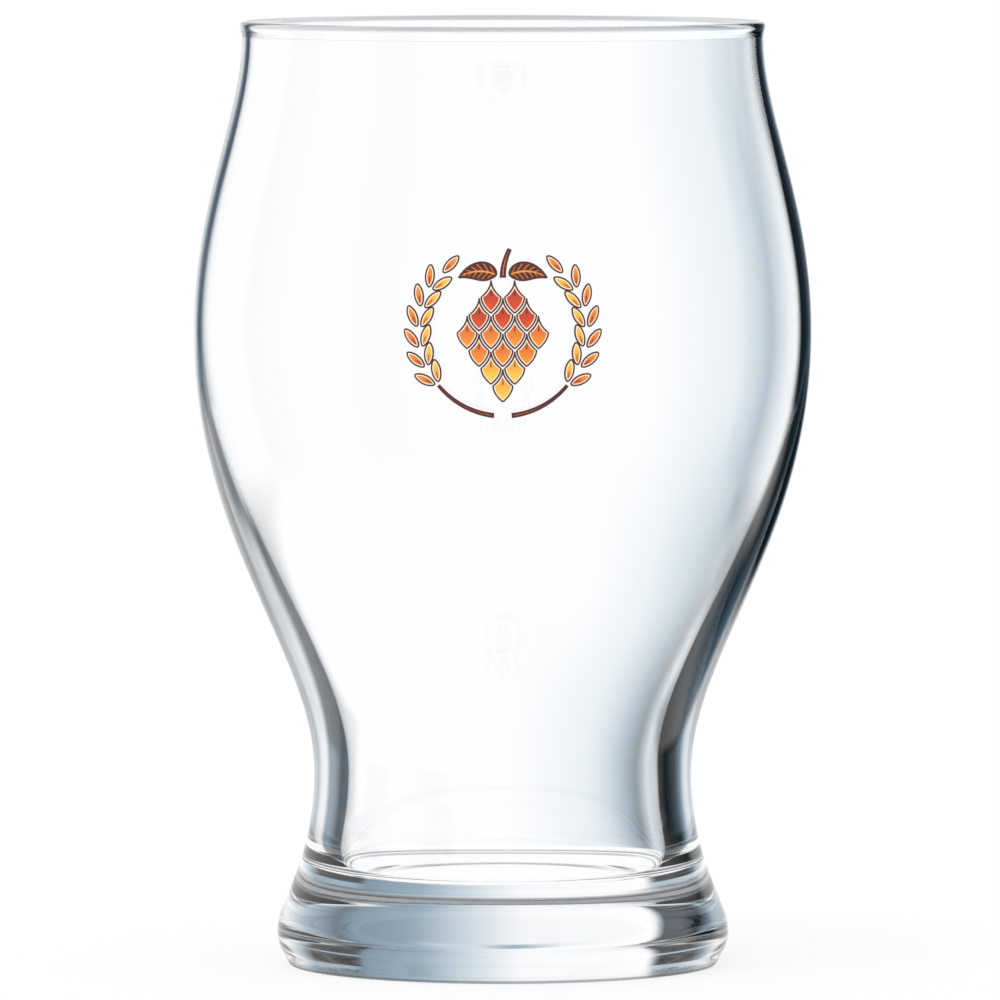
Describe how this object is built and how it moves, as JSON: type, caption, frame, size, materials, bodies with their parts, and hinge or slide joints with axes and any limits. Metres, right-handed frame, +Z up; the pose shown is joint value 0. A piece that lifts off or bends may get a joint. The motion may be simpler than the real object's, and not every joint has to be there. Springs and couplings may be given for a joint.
{
  "type": "beer tumbler",
  "caption": "Clear waisted beer tumbler with a wide belly, a drawn-in waist, a thick solid foot and an enamel print of a hop cone between barley ears.",
  "frame": {"origin": "centre of the ring that the glass stands on", "axes": "+Z up the axis of the glass, -Y out of the front that carries the print"},
  "size_m": [0.0888, 0.089, 0.136],
  "materials": {
    "clear_glass": "fire polished",
    "enamel_maroon": "gloss",
    "enamel_red": "gloss",
    "enamel_orange": "gloss",
    "enamel_yellow": "gloss"
  },
  "bodies": {
    "root": {"glass_body": "clear_glass", "hop_scale_1": "enamel_red", "hop_scale_2": "enamel_red", "hop_scale_3": "enamel_red", "hop_scale_4": "enamel_red", "hop_scale_5": "enamel_red", "hop_scale_6": "enamel_orange", "hop_scale_7": "enamel_orange", "hop_scale_8": "enamel_orange", "hop_scale_9": "enamel_orange", "hop_scale_10": "enamel_orange", "hop_scale_11": "enamel_orange", "hop_scale_12": "enamel_orange", "hop_scale_13": "enamel_yellow", "hop_scale_14": "enamel_yellow", "hop_scale_15": "enamel_yellow", "hop_stem": "enamel_maroon", "hop_leaf_left": "enamel_maroon", "hop_leaf_right": "enamel_maroon", "barley_stalk_left": "enamel_maroon", "barley_grain_left_1": "enamel_orange", "barley_grain_left_2": "enamel_yellow", "barley_grain_left_3": "enamel_orange", "barley_grain_left_4": "enamel_yellow", "barley_grain_left_5": "enamel_orange", "barley_grain_left_6": "enamel_yellow", "barley_grain_left_7": "enamel_orange", "barley_grain_left_8": "enamel_yellow", "barley_grain_left_9": "enamel_orange", "barley_grain_left_10": "enamel_yellow", "barley_grain_left_11": "enamel_orange", "barley_grain_left_12": "enamel_yellow", "barley_grain_left_13": "enamel_orange", "barley_stalk_right": "enamel_maroon", "barley_grain_right_1": "enamel_orange", "barley_grain_right_2": "enamel_yellow", "barley_grain_right_3": "enamel_orange", "barley_grain_right_4": "enamel_yellow", "barley_grain_right_5": "enamel_orange", "barley_grain_right_6": "enamel_yellow", "barley_grain_right_7": "enamel_orange", "barley_grain_right_8": "enamel_yellow", "barley_grain_right_9": "enamel_orange", "barley_grain_right_10": "enamel_yellow", "barley_grain_right_11": "enamel_orange", "barley_grain_right_12": "enamel_yellow", "barley_grain_right_13": "enamel_orange"}
  },
  "joints": []
}
